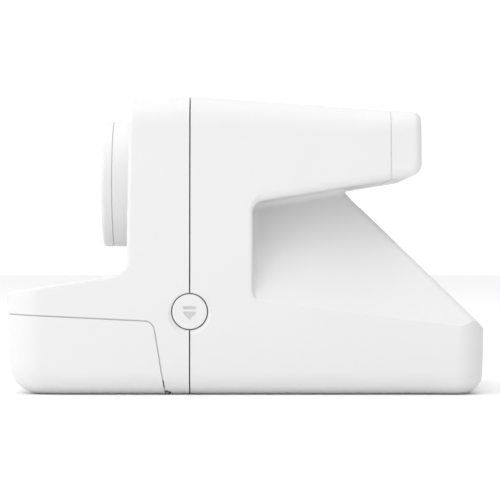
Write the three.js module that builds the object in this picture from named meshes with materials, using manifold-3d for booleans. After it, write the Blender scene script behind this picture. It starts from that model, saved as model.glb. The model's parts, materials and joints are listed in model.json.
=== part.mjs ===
// Box-type instant camera, built as an assembly of separate pieces.
// Millimetres, +Z up, the lens looks along -Y. The origin is the centre of the underside.
import * as THREE from 'three';
import { mergeVertices } from 'three/addons/utils/BufferGeometryUtils.js';
import Module from 'manifold-3d';

const wasm = await Module();
wasm.setup();

// ---------------------------------------------------------------- driving dimensions
const WIDTH = 112.2;
const DEPTH = 150.16;
const HEIGHT = 94;
const WALL = 2.2;
const SEAM = 0.5;
const CLEAR = 0.3;
const ARC_STEP = Math.PI / 9;

const side = WIDTH / 2;
const rear = DEPTH / 2;
const deckEdge = 32.1;
const headFront = -37.25;
const headRear = 55.4;
const recessFront = 2.3;
const mainSeam = -17.4;
const capSeam = 45.7;
const backSlope = 95.6;

const lens = { z: 67.2, radius: 20.7, front: -47.1, split: -43.4 };
const hinge = { y: -25, z: 1.75, barrel: 1.65, bore: 0.95, clearance: 2.05, reach: 51.7 };
const frameTop = 25.6;
const release = { y: mainSeam, z: 26.05, radius: 5.5 };
const shutter = { x: -36, z: 57, radius: 6 };
const timer = { x: 38, z: 56, radius: 3 };
const sensor = { x: 30.5, z: 66, radius: 2.6 };
const lamp = { x: 40, z: 66, radius: 1.4 };
const flash = { x: -34.5, z: 79, width: 24, height: 13 };
const finder = { x: 36, z: 80, width: 14, height: 10 };
const display = { x: -2, z: 80, width: 13, height: 8 };
const rearKeys = { flash: -22, power: -38, z: 80, radius: 4 };

const roller = { y: -60, nip: 24, radius: 3.2, half: 44, shaft: 1.2 };
const lowerRollerZ = roller.nip - roller.radius - 0.2;
const upperRollerZ = roller.nip + roller.radius + 0.2;

const toothModule = 0.6;
const meshPlay = 0.18;
const outerGears = [-52, -49.6];
const innerGears = [-48.9, -46.5];

// ---------------------------------------------------------------- materials
function finish(color, roughness, metalness = 0) {
  return new THREE.MeshStandardMaterial({ color, roughness, metalness });
}

const whiteShell = finish('#efefed', 0.5);
const whiteGloss = finish('#f2f2f0', 0.3);
const blackPlastic = finish('#18181a', 0.6);
const blackGloss = finish('#0c0c0e', 0.12);
const clearLens = finish('#aab6c0', 0.05);
const redPlastic = finish('#c8301f', 0.35);
const mirrorGlass = finish('#dfe3e6', 0.04, 1);
const steel = finish('#a9acb0', 0.35, 1);
const aluminium = finish('#c6c8cb', 0.3, 1);
const brass = finish('#b8934a', 0.35, 1);
const circuitGreen = finish('#1f5a38', 0.55);
const paleGear = finish('#d9d6cc', 0.5);
const rubber = finish('#222224', 0.85);
const batteryWrap = finish('#3a4d78', 0.5);

// ---------------------------------------------------------------- outlines
/** Closed outline through corners [u, v, radius], every corner rounded by its own radius. */
function outline(corners) {
  return corners.flatMap(([u, v, radius = 0], i) => {
    const here = new THREE.Vector2(u, v);
    if (radius < 0.05) return [here];
    const toward = (other) => new THREE.Vector2(other[0], other[1]).sub(here).normalize();
    const back = toward(corners.at(i - 1));
    const on = toward(corners[(i + 1) % corners.length]);
    const half = Math.acos(THREE.MathUtils.clamp(back.dot(on), -1, 1)) / 2;
    const turn = (Math.PI - 2 * half) * Math.sign(on.cross(back));
    const centre = here.clone().addScaledVector(back.clone().add(on).normalize(), radius / Math.sin(half));
    const start = here.clone().addScaledVector(back, radius / Math.tan(half));
    const steps = Math.max(1, Math.round(Math.abs(turn) / ARC_STEP));
    const onArc = (k) => start.clone().rotateAround(centre, (turn * k) / steps);
    return Array.from({ length: steps + 1 }, (_, k) => onArc(k));
  });
}

/** The same corners moved inward by a distance, with the radii changed to match. */
function inset(corners, distance) {
  return corners.map(([u, v, radius = 0], i) => {
    const here = new THREE.Vector2(u, v);
    const [u0, v0] = corners.at(i - 1);
    const [u1, v1] = corners[(i + 1) % corners.length];
    const arriving = here.clone().sub(new THREE.Vector2(u0, v0)).normalize();
    const leaving = new THREE.Vector2(u1, v1).sub(here).normalize();
    const convex = arriving.cross(leaving) > 0;
    const inward = new THREE.Vector2(-arriving.y - leaving.y, arriving.x + leaving.x);
    const moved = here.addScaledVector(inward, distance / (1 + arriving.dot(leaving)));
    return [moved.x, moved.y, radius && Math.max(radius + (convex ? -distance : distance), 0.4)];
  });
}

function rectangle(u, v, width, height, radius = 0) {
  const [left, right, low, high] = [u - width / 2, u + width / 2, v - height / 2, v + height / 2];
  return outline([[left, low, radius], [right, low, radius], [right, high, radius], [left, high, radius]]);
}

function circle(u, v, radius, steps = 24) {
  return Array.from({ length: steps }, (_, k) => {
    const angle = (2 * Math.PI * (k + 0.5)) / steps;
    return new THREE.Vector2(u + radius * Math.cos(angle), v + radius * Math.sin(angle));
  });
}

// ---------------------------------------------------------------- solids
/** Outline drawn in (y, z), (x, z) or (x, y) and pushed along x, y or z from one station to the other. */
function along(axis, points, from, to, holes = []) {
  const shape = new THREE.Shape(points);
  shape.holes = holes.map((hole) => new THREE.Path(hole));
  const geometry = new THREE.ExtrudeGeometry(shape, { depth: to - from, bevelEnabled: false });
  const turned = new THREE.Matrix4();
  const [X, Y, Z] = [new THREE.Vector3(1, 0, 0), new THREE.Vector3(0, 1, 0), new THREE.Vector3(0, 0, 1)];
  if (axis === 'x') turned.makeBasis(Y, Z, X).setPosition(from, 0, 0);
  if (axis === 'y') turned.makeBasis(X, Z, Y.clone().negate()).setPosition(0, to, 0);
  if (axis === 'z') turned.setPosition(0, 0, from);
  return toSolid(geometry.applyMatrix4(turned));
}

function toSolid(geometry) {
  geometry.deleteAttribute('normal');
  geometry.deleteAttribute('uv');
  const merged = mergeVertices(geometry, 1e-4);
  const mesh = new wasm.Mesh({
    numProp: 3,
    vertProperties: merged.attributes.position.array,
    triVerts: new Uint32Array(merged.index.array),
  });
  return new wasm.Manifold(mesh);
}

function toGeometry(solid) {
  const mesh = solid.getMesh();
  const geometry = new THREE.BufferGeometry();
  geometry.setAttribute('position', new THREE.BufferAttribute(new Float32Array(mesh.vertProperties), 3));
  geometry.setIndex(new THREE.BufferAttribute(new Uint32Array(mesh.triVerts), 1));
  const flat = geometry.toNonIndexed();
  flat.computeVertexNormals();
  return flat;
}

function block([x0, x1], [y0, y1], [z0, z1]) {
  const box = new THREE.BoxGeometry(x1 - x0, y1 - y0, z1 - z0);
  return toSolid(box.translate((x0 + x1) / 2, (y0 + y1) / 2, (z0 + z1) / 2));
}

/** Ring turned about the Y axis from a closed profile of [radius, y] corners. */
function turnedRing(profile, x, z, steps = 36) {
  const loop = [...profile, profile[0]].reverse().map(([radius, y]) => new THREE.Vector2(radius, y));
  return toSolid(new THREE.LatheGeometry(loop, steps)).translate([x, 0, z]);
}

function piece(name, solid, material) {
  const mesh = new THREE.Mesh(toGeometry(solid), material);
  mesh.name = name;
  return mesh;
}

function assembly(...pieces) {
  return new THREE.Group().add(...pieces);
}

// ---------------------------------------------------------------- body form
/** Side profile of the full-width body, from the bottom front corner round to the front edge. */
const sideProfile = [
  [-66.4 - 6.5, 0, 6], [rear, 0, 7], [rear, backSlope - rear], [recessFront, 29.3, 2.5],
  [recessFront, 60.2, 3.3], [headRear, 69.1, 3], [headRear, 88.8, 2.5], [capSeam, 89.4],
  [mainSeam, HEIGHT], [-36.5, 92.4, 3], [headFront, 37.8, 4], [-74.35, deckEdge, 2],
  [-rear, 25], [-rear + 0.1, 17], [-74.2, 8.5, 3],
];

/** The body seen from the front: upright low down, then narrowing to the top. */
const frontProfile = [
  [-side, 0, 7.5], [side, 0, 7.5], [side, 22],
  [50.5, HEIGHT + 0.2, 10], [-50.5, HEIGHT + 0.2, 10], [-side, 22],
];

const basePlan = [[-side, -rear, 11], [side, -rear, 11], [side, rear, 9], [-side, rear, 9]];
const headPlan = [
  [-side, headFront, 3.4], [side, headFront, 3.4], [side, headRear, 3.2], [-side, headRear, 3.2],
];

/** The neck narrows upward from a crease that falls to the rear, and its back slopes at 45 degrees. */
const crease = { y: 6.7, z: 28.8, fall: Math.atan(0.1158), half: 55.6, narrowing: 0.67 };

function neckForm(wall) {
  const reach = 50;
  const half = crease.half - 1.2 * wall;
  const top = half - crease.narrowing * reach;
  const section = [[-half, -25], [half, -25], [half, 0], [top, reach], [-top, reach], [-half, 0]];
  const taper = along('y', outline(section), -20, 80)
    .rotate([-THREE.MathUtils.radToDeg(crease.fall), 0, 0])
    .translate([0, crease.y, crease.z]);
  const limit = backSlope - wall * Math.SQRT2;
  const back = rear - wall;
  const profile = [[-4, 12], [back, 12], [back, limit - back], [limit - 71, 71], [-4, 71]];
  return taper
    .intersect(along('x', outline(profile), -side, side))
    .intersect(along('z', outline(inset(basePlan, wall)), 0, 80));
}

function bodyForm(wall) {
  const plans = along('z', outline(inset(basePlan, wall)), -1, 38)
    .add(along('z', outline(inset(headPlan, wall)), 28, HEIGHT + 1));
  return along('x', outline(inset(sideProfile, wall)), -side - 1, side + 1)
    .intersect(along('y', outline(inset(frontProfile, wall)), -rear - 1, rear + 1))
    .intersect(plans)
    .add(neckForm(wall));
}

/** The film door's region of the base seen from the side, grown or shrunk by the seam. */
const doorProfile = [[-90, -5], [-24.13, -5], [-28.83, 23.05, 3.3], [-90, 26.03]];

function doorRegion(grow) {
  return along('x', outline(inset(doorProfile, -grow)), -side - 1, side + 1);
}

function crossBar(y, z, radius, x0, x1, steps = 24) {
  return along('x', circle(y, z, radius, steps), x0, x1);
}

function windowHole({ x, z, width, height }, radius, [y0, y1]) {
  return along('y', rectangle(x, z, width + 2 * CLEAR, height + 2 * CLEAR, radius), y0, y1);
}

function rearFacingHole(x, z, radius, y0, y1, steps = 24) {
  return along('y', circle(x, z, radius, steps), y0, y1);
}

function hingeBore() {
  return crossBar(hinge.y, hinge.z, hinge.bore, -hinge.reach, hinge.reach, 12);
}

function hingePin() {
  const end = hinge.reach - CLEAR;
  return crossBar(hinge.y, hinge.z, hinge.bore - CLEAR, -end, end, 12);
}

const doorKnuckles = [[-52, -31], [-9, 9], [31, 52]];
const bodyKnuckles = [[-30.7, -9.3], [9.3, 30.7]];
const screwPlaces = [[-45.5, 0], [45.5, 0], [-45.5, 60], [45.5, 60]];

// ---------------------------------------------------------------- housing
function housing() {
  const shell = bodyForm(0).subtract(bodyForm(WALL));
  const half = SEAM / 2;
  const far = rear + 5;
  const barrelRoom = crossBar(hinge.y, hinge.z, hinge.clearance, -60, 60);
  const body = shell.subtract(doorRegion(half)).subtract(barrelRoom);
  const buttonHole = crossBar(release.y, release.z, release.radius + CLEAR, 45, 60, 28);
  return assembly(
    piece('front_shell', frontShell(body, half, far).subtract(buttonHole), whiteShell),
    piece('rear_shell', rearShell(body, half, far).subtract(buttonHole), whiteShell),
    piece('rear_cap', rearCap(shell, half, far), whiteShell),
    piece('film_door', filmDoor(shell, half), whiteShell),
    piece('hinge_pin', hingePin(), steel),
    ...screwPlaces.map(([x, y], i) => piece(`housing_screw_${i + 1}`, housingScrew(x, y), steel)),
  );
}

function frontShell(body, half, far) {
  const faceY = [headFront - 2, headFront + 5];
  const usbSlot = along('x', rectangle(-26, 50, 9.4, 3.8, 1.8), -60, -45);
  const bore = hingeBore();
  const knuckles = bodyKnuckles.map(([x0, x1]) => {
    const web = block([x0, x1], [hinge.y, mainSeam - 1], [0.25, 2.6]);
    return crossBar(hinge.y, hinge.z, hinge.barrel - 0.15, x0, x1).add(web);
  });
  const panel = body
    .intersect(block([-far, far], [-far, mainSeam - half], [-1, 99]))
    .subtract(rearFacingHole(0, lens.z, 16.5, ...faceY, 32))
    .subtract(rearFacingHole(shutter.x, shutter.z, shutter.radius + CLEAR, ...faceY))
    .subtract(rearFacingHole(timer.x, timer.z, timer.radius + CLEAR, ...faceY, 16))
    .subtract(rearFacingHole(sensor.x, sensor.z, sensor.radius + CLEAR, ...faceY, 16))
    .subtract(rearFacingHole(lamp.x, lamp.z, lamp.radius + CLEAR, ...faceY, 12))
    .subtract(windowHole(flash, 2.3, faceY))
    .subtract(windowHole(finder, 2.3, faceY))
    .subtract(usbSlot);
  return knuckles.reduce((solid, knuckle) => solid.add(knuckle), panel).subtract(bore);
}

function rearShell(body, half, far) {
  const headBehindCap = block([-far, far], [capSeam - half, far], [60, 99]);
  const screwHoles = screwPlaces.map(([x, y]) => along('z', circle(x, y, 2.6, 14), -1, WALL + 1));
  const panel = body
    .intersect(block([-far, far], [mainSeam + half, far], [-1, 99]))
    .subtract(headBehindCap);
  return screwHoles.reduce((solid, hole) => solid.subtract(hole), panel);
}

function rearCap(shell, half, far) {
  const face = [headRear - 5, headRear + 2];
  return shell
    .intersect(block([-far, far], [capSeam + half, far], [60, 99]))
    .subtract(windowHole(finder, 2.3, face))
    .subtract(windowHole(display, 1.5, face))
    .subtract(rearFacingHole(rearKeys.flash, rearKeys.z, rearKeys.radius + CLEAR, ...face, 20))
    .subtract(rearFacingHole(rearKeys.power, rearKeys.z, rearKeys.radius + CLEAR, ...face, 20));
}

/** Tray-shaped door: it carries the rollers and leaves a slot along its front edge for the print. */
function filmDoor(shell, half) {
  const sweep = crossBar(hinge.y, hinge.z, hinge.barrel, -60, 60);
  const bodyRoom = bodyKnuckles.map(([x0, x1]) =>
    crossBar(hinge.y, hinge.z, hinge.clearance, x0 - CLEAR, x1 + CLEAR));
  const barrels = doorKnuckles.map(([x0, x1]) => crossBar(hinge.y, hinge.z, hinge.barrel, x0, x1));
  const printSlot = block([-44.5, 44.5], [-rear - 1, -70], [22.8, 26.5]);
  const catchLug = block([49.5, 54.2], [-46, -42], [17, 22.5]);
  const panel = shell.intersect(doorRegion(-half).add(sweep));
  const tray = barrels.reduce((solid, barrel) => solid.add(barrel), panel);
  return bodyRoom
    .reduce((solid, room) => solid.subtract(room), tray)
    .subtract(hingeBore())
    .subtract(printSlot)
    .add(catchLug);
}

function housingScrew(x, y) {
  const slot = block([x - 1.4, x + 1.4], [y - 0.3, y + 0.3], [0, 0.9]);
  const cross = block([x - 0.3, x + 0.3], [y - 1.4, y + 1.4], [0, 0.9]);
  return along('z', circle(x, y, 2.3, 14), 0.3, 1.7)
    .add(along('z', circle(x, y, 1.1, 8), 1.6, 8))
    .subtract(slot)
    .subtract(cross);
}

// ---------------------------------------------------------------- door release
function doorRelease() {
  const face = 55.5;
  const mark = [face - 0.4, face + 1];
  const { y, z } = release;
  const bar = block(mark, [y - 1.95, y + 1.95], [z + 1.5, z + 2.4]);
  const arrow = along('x', outline([[y, z - 2.6], [y + 1.9, z + 0.1], [y - 1.9, z + 0.1]]), ...mark);
  const button = crossBar(release.y, release.z, release.radius, 51, face, 28)
    .add(crossBar(release.y, release.z, release.radius + 1, 51, 52.3, 28))
    .subtract(bar)
    .subtract(arrow);
  const hook = block([48.2, 50.7], [release.y - 4, release.y + 4], [release.z - 3, release.z + 3])
    .add(block([48.2, 50.7], [-41.5, release.y], [release.z + 0.6, release.z + 3]))
    .add(block([48.2, 50.7], [-41.5, -39], [release.z - 4.5, release.z + 3]));
  return assembly(piece('door_release_button', button, whiteGloss), piece('latch_hook', hook, steel));
}

// ---------------------------------------------------------------- lens
function lensBarrel() {
  const { radius, front, split, z } = lens;
  const rearRing = [
    [16.1, -34], [16.1, headFront - 0.2], [radius, headFront - 0.2], [radius, split + 0.15],
    [15.5, split + 0.15], [15.5, -34],
  ];
  const frontRing = [
    [radius, split - 0.15], [radius, front + 1], [radius - 1, front], [16.4, front], [15.5, front + 0.9],
    [15.5, split - 0.15],
  ];
  const bezel = [[15.2, -34], [15.2, -46], [13.2, -46], [13.2, -43], [8, -38], [8, -34]];
  return assembly(
    piece('lens_rear_ring', turnedRing(rearRing, 0, z), whiteShell),
    piece('lens_front_ring', turnedRing(frontRing, 0, z), whiteShell),
    piece('lens_bezel', turnedRing(bezel, 0, z, 28), blackGloss),
    piece('front_glass', rearFacingHole(0, z, 12.9, -45.4, -44.2, 28), clearLens),
  );
}

const focusPivot = lens.z - 12;
const farAngle = THREE.MathUtils.degToRad(72);

function lensWorks() {
  const farX = -12 * Math.sin(farAngle);
  const farZ = focusPivot + 12 * Math.cos(farAngle);
  const disc = along('y', circle(0, focusPivot, 19.5, 36), -33.2, -32, [
    circle(0, lens.z, 6.5, 16).reverse(),
    circle(farX, farZ, 6.5, 16).reverse(),
    circle(0, focusPivot, 1.8, 10).reverse(),
  ]);
  const aperture = circle(0, lens.z, 5, 20).reverse();
  const board = along('y', rectangle(0, 69.5, 44, 35, 3), -30.6, -29.4, [aperture])
    .add(rearFacingHole(0, focusPivot, 1.5, -34, -30.2, 10));
  return assembly(
    piece('focus_disc', disc, blackPlastic),
    piece('near_lens', rearFacingHole(0, lens.z, 6.2, -33.8, -31.3, 20), clearLens),
    piece('far_lens', rearFacingHole(farX, farZ, 6.2, -33.6, -31.5, 20), clearLens),
    piece('lens_board', board, blackPlastic),
    piece('shutter_blade_left', shutterBlade(-1, -28.9), blackPlastic),
    piece('shutter_blade_right', shutterBlade(1, -28), blackPlastic),
    piece('focus_motor', focusMotor(), steel),
    piece('shutter_solenoid', block([-36, -26], [-28.4, -19.5], [58, 66]), brass),
  );
}

/** Pancake motor whose small wheel runs against the rim of the focus disc. */
function focusMotor() {
  const reach = 19.5 + CLEAR + 2.7;
  const angle = THREE.MathUtils.degToRad(-20);
  const at = [reach * Math.cos(angle), focusPivot + reach * Math.sin(angle)];
  return rearFacingHole(...at, 4.5, -30.4, -25, 18)
    .add(rearFacingHole(...at, 0.8, -32.2, -30, 8))
    .add(rearFacingHole(...at, 2.7, -33.2, -32, 14));
}

function shutterBlade(hand, y) {
  const pivot = hand * 17;
  const leaf = circle(hand * 1.5, lens.z, 6.6, 20);
  const tip = hand * 4;
  const arm = outline([[pivot, lens.z - 7], [pivot, lens.z - 3], [tip, lens.z + 4], [tip, lens.z - 4.5]]);
  return along('y', leaf, y, y + 0.5)
    .add(along('y', hand > 0 ? arm : [...arm].reverse(), y, y + 0.5))
    .add(rearFacingHole(pivot, lens.z - 5, 2.6, y, y + 0.5, 14))
    .subtract(rearFacingHole(pivot, lens.z - 5, 0.9, y - 1, y + 1, 8));
}

// ---------------------------------------------------------------- front controls and windows
/** Round key in a hole of the head: a cap, and a flange that keeps it behind the wall. */
function roundKey({ x, z, radius }, capY, flangeY, steps = 24) {
  const [low, high] = capY < flangeY ? [capY, flangeY + 1] : [flangeY - 1, capY];
  const flange = capY < flangeY ? [flangeY, flangeY + 1] : [flangeY - 1, flangeY];
  const cap = rearFacingHole(x, z, radius, low, high, steps);
  return cap.add(rearFacingHole(x, z, radius + 1, ...flange, steps));
}

function windowPane({ x, z, width, height }, radius, [y0, y1]) {
  return along('y', rectangle(x, z, width, height, radius), y0, y1);
}

function frontControls() {
  const inner = headFront + WALL + 0.7;
  const pane = [headFront + 0.4, headFront + 2];
  const { x, z, width } = flash;
  const trough = outline([
    [-34.4, z - 6.2], [-28, z - 4, 2], [-26.4, z, 3], [-28, z + 4, 2], [-34.4, z + 6.2],
    [-34.4, z + 5.4], [-28.6, z + 3.2, 2], [-27.2, z, 3], [-28.6, z - 3.2, 2], [-34.4, z - 5.4],
  ]);
  return assembly(
    piece('shutter_button', roundKey(shutter, headFront - 2.2, inner), redPlastic),
    piece('self_timer_button', roundKey(timer, headFront - 0.4, inner, 16), whiteGloss),
    piece('light_sensor_window', rearFacingHole(sensor.x, sensor.z, sensor.radius, ...pane, 16), blackGloss),
    piece('timer_led', rearFacingHole(lamp.x, lamp.z, lamp.radius, pane[0], -32.2, 12), redPlastic),
    piece('flash_window', windowPane(flash, 2, pane), clearLens),
    piece('flash_reflector', along('x', trough, x - width / 2, x + width / 2), aluminium),
    piece('flash_tube', crossBar(-30.2, z, 1.3, x - 10.5, x + 10.5, 10), clearLens),
    piece('viewfinder_front_window', windowPane(finder, 2, pane), clearLens),
    piece('viewfinder_tunnel', finderTunnel(), blackPlastic),
  );
}

function finderTunnel() {
  const tube = rectangle(finder.x, finder.z, finder.width, finder.height, 1);
  const bore = rectangle(finder.x, finder.z, finder.width - 2.4, finder.height - 2.4, 0.6);
  return along('y', tube, -34.2, 44.5, [bore.reverse()]);
}

// ---------------------------------------------------------------- rear controls
function rearControls() {
  const inner = headRear - WALL - CLEAR;
  const { x, z, width, height } = finder;
  const lensPlate = along('y', rectangle(x, z, width - 2, height - 2, 1), 50.4, 51.8);
  const eyecup = windowPane(finder, 2, [50, headRear - 0.2])
    .subtract(along('y', rectangle(x, z, width - 4, height - 4, 1), 49, headRear + 2))
    .add(lensPlate);
  const flashKey = { x: rearKeys.flash, z: rearKeys.z, radius: rearKeys.radius };
  const powerKey = { ...flashKey, x: rearKeys.power };
  const proud = headRear + 0.2;
  return assembly(
    piece('viewfinder_eyepiece', eyecup, blackGloss),
    piece('counter_display', windowPane(display, 1.2, [52, headRear - 0.4]), blackGloss),
    piece('flash_mode_button', roundKey(flashKey, proud, inner, 20), whiteGloss),
    piece('power_button', roundKey(powerKey, proud, inner, 20), whiteGloss),
  );
}

// ---------------------------------------------------------------- exposure chamber and mirror
const chamberProfile = [
  [-14.5, frameTop + CLEAR], [64.9, frameTop + CLEAR], [12.8, 78], [-25.5, 78], [-25.5, 56],
];

function chamberForm(wall) {
  const low = frameTop + CLEAR - (wall > 0 ? 3 : 0);
  const [foot, top] = [37 - wall, 21 - wall];
  const across = outline([
    [-foot, low], [foot, low], [foot, 30], [top, 66], [top, 90], [-top, 90], [-top, 66], [-foot, 30],
  ]);
  const profile = inset(chamberProfile, wall);
  if (wall > 0) profile.splice(0, 2, [profile[0][0], low], [profile[1][0] + 4.2 - wall, low]);
  return along('x', outline(profile), -40, 40).intersect(along('y', across, -40, 80));
}

/** A flat mirror lies against the chamber's sloping back and turns the light down onto the film. */
function optics() {
  const wall = 1.2;
  const lensOpening = rearFacingHole(0, lens.z, 8, -30, -20, 20);
  const chamber = chamberForm(0).subtract(chamberForm(wall)).subtract(lensOpening);
  const depth = chamberProfile[1][0] + chamberProfile[1][1] - (wall + CLEAR) * Math.SQRT2;
  const thick = 1.6 * Math.SQRT2;
  const band = [[depth - 31, 31], [depth - 74, 74], [depth - 74 - thick, 74], [depth - 31 - thick, 31]];
  const mirror = along('x', outline(band), -36, 36).intersect(chamberForm(wall + CLEAR));
  return assembly(piece('exposure_chamber', chamber, blackPlastic), piece('mirror', mirror, mirrorGlass));
}

// ---------------------------------------------------------------- film path
function filmPath() {
  const pictureWindow = rectangle(0, 20, 62, 62, 1).reverse();
  const frame = along('z', rectangle(0, 21, 90, 82, 3), frameTop - 1.2, frameTop, [pictureWindow]);
  const arm = block([45, 46], [20, 66], [9, 22]).add(block([43, 46], [64.5, 66], [9, 13]));
  const barRoller = (z, ends) =>
    crossBar(roller.y, z, roller.radius, -roller.half, roller.half, 20)
      .add(crossBar(roller.y, z, roller.shaft, ...ends, 10));
  const bracket = (x) => {
    const plate = rectangle(roller.y, 16.6, 9, 28.2, 2);
    const bearing = (z) => circle(roller.y, z, roller.shaft + CLEAR, 12).reverse();
    const bearings = [lowerRollerZ, upperRollerZ].map(bearing);
    return along('x', plate, x - 1, x + 1, bearings);
  };
  const shield = crossBar(-69.3, 27.4, 1.7, -roller.half, roller.half, 16);
  return assembly(
    piece('film_frame', frame, blackPlastic),
    piece('pick_arm', arm, steel),
    piece('lower_roller', barRoller(lowerRollerZ, [-49.1, 48.6]), steel),
    piece('upper_roller', barRoller(upperRollerZ, [-48.6, 48.6]), steel),
    piece('roller_bracket_left', bracket(47.3), steel),
    piece('roller_bracket_right', bracket(-47.3), steel),
    piece('film_shield', shield, rubber),
  );
}

// ---------------------------------------------------------------- gear train
/** Gear outline: straight-sided teeth, thinner than their spaces so that a pair runs freely. */
function toothedWheel(teeth, turn) {
  const pitch = (toothModule * teeth) / 2;
  const flanks = [
    [pitch - 1.1 * toothModule, 0.66], [pitch + 0.8 * toothModule, 0.2],
    [pitch + 0.8 * toothModule, -0.2], [pitch - 1.1 * toothModule, -0.66],
  ];
  return Array.from({ length: teeth }, (_, k) => (2 * Math.PI * k) / teeth + turn).flatMap((middle) =>
    flanks.map(([radius, share]) => {
      const angle = middle - (share * Math.PI) / teeth;
      return new THREE.Vector2(radius * Math.cos(angle), radius * Math.sin(angle));
    }));
}

/** Wheel centre at a given direction from its driver, one pitch distance away plus play. */
function meshedWith(driver, teeth, degrees) {
  const angle = THREE.MathUtils.degToRad(degrees);
  const reach = (toothModule * (driver.teeth + teeth)) / 2 + meshPlay;
  const turn = angle + Math.PI + Math.PI / teeth + ((angle - driver.turn) * driver.teeth) / teeth;
  return { y: driver.y + reach * Math.cos(angle), z: driver.z + reach * Math.sin(angle), teeth, turn };
}

const onRoller = { y: roller.y, z: lowerRollerZ, teeth: 14, turn: 0 };
const closing = THREE.MathUtils.radToDeg(Math.atan2(hinge.y - roller.y, lowerRollerZ - hinge.z));
const driveWheel = meshedWith(onRoller, 12, closing);
const idlerWheel = meshedWith(driveWheel, 24, -14);
const compoundSmall = meshedWith(idlerWheel, 12, 15);
const compoundLarge = { ...compoundSmall, teeth: 22, turn: 0 };
const pinionWheel = meshedWith(compoundLarge, 12, 30);

function wheel({ y, z, teeth, turn }, [x0, x1], bore = 0.9) {
  const outlinePoints = toothedWheel(teeth, turn).map((point) => point.add(new THREE.Vector2(y, z)));
  return along('x', outlinePoints, x0, x1, bore ? [circle(y, z, bore, 8).reverse()] : []);
}

function driveWorks() {
  const compound = wheel(compoundSmall, outerGears).add(wheel(compoundLarge, innerGears))
    .add(along('x', circle(compoundSmall.y, compoundSmall.z, 2.4, 12), outerGears[1], innerGears[0], [
      circle(compoundSmall.y, compoundSmall.z, 0.9, 8).reverse(),
    ]));
  const can = rectangle(pinionWheel.y, pinionWheel.z, 15, 12, 5.5);
  const motor = along('x', can, -45.6, -21).add(crossBar(pinionWheel.y, pinionWheel.z, 1, -46.2, -45, 10));
  return assembly(
    piece('roller_gear', wheel(onRoller, outerGears, 0), paleGear),
    piece('roller_drive_gear', wheel(driveWheel, outerGears), paleGear),
    piece('idler_gear', wheel(idlerWheel, outerGears), paleGear),
    piece('reduction_gear', compound, paleGear),
    piece('motor_pinion', wheel(pinionWheel, innerGears, 0), brass),
    piece('drive_motor', motor, steel),
  );
}

// ---------------------------------------------------------------- electronics
function electronics() {
  const mouth = rectangle(-26, 50, 8, 2.4, 1.1).reverse();
  const socket = along('x', rectangle(-26, 50, 8.8, 3.2, 1.5), -53.4, -46, [mouth])
    .add(block([-47, -46.2], [-30.2, -21.8], [48.6, 51.4]));
  return assembly(
    piece('main_board', block([-38.6, -37], [-12, 34], [69, 87]), circuitGreen),
    piece('flash_board', block([-47, -25], [-23, -21.4], [68.5, 87]), circuitGreen),
    piece('flash_capacitor', rearFacingHole(-42.5, 55, 5.5, -18, 0, 20), blackGloss),
    piece('battery', along('x', rectangle(-16, 54, 32, 34, 2), 40, 48), batteryWrap),
    piece('usb_socket', socket, steel),
  );
}

export default assembly(
  housing(),
  doorRelease(),
  lensBarrel(),
  lensWorks(),
  frontControls(),
  rearControls(),
  optics(),
  filmPath(),
  driveWorks(),
  electronics(),
);
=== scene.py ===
"""Box-type instant camera: the visual model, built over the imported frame."""

import json
import math

import bmesh
import bpy
import numpy as np
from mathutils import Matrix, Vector


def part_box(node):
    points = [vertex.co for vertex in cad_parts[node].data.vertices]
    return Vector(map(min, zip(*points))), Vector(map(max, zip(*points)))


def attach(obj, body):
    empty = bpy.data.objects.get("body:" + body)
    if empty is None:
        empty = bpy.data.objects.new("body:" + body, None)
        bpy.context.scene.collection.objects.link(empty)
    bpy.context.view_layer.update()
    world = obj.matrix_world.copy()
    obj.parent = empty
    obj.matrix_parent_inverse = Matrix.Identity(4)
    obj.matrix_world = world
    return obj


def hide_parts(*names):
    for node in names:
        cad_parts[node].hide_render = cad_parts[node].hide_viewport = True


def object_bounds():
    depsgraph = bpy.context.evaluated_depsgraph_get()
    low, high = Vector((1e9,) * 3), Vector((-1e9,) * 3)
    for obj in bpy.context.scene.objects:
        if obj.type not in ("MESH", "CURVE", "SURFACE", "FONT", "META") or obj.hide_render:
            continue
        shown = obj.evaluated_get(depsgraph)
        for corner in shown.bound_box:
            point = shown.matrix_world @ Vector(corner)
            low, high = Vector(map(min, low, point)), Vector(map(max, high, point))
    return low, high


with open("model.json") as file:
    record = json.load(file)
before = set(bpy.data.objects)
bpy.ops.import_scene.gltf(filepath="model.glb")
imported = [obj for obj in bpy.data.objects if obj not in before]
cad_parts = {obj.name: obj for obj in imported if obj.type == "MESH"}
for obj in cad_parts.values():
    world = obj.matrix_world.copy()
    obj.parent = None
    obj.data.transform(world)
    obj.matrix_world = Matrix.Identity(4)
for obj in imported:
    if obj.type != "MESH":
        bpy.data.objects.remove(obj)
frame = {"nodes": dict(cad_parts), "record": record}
cad_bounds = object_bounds()

# ---------------------------------------------------------------- driving dimensions, in millimetres
MM = 0.001


def box(node):
    """Lowest and highest corner of a CAD node, in millimetres."""
    return [np.array(corner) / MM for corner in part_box(node)]


def middle(node):
    low, high = box(node)
    return (low + high) / 2


side, rear, height = np.array(cad_bounds[1]) / MM
cap_low, cap_high = box("rear_cap")
ring_low, ring_high = box("lens_rear_ring")
release_low, release_high = box("door_release_button")

SEAM = 0.4
WALL = 2.2
CLEAR = 0.3
FLANGE = 1.0
BARREL = 1.65
PIN_BORE = 0.95
PIN_REACH = 51.7
RELEASE_RADIUS = 5.5
SYMBOL_DEPTH = 0.3
FAR = 99

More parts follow.
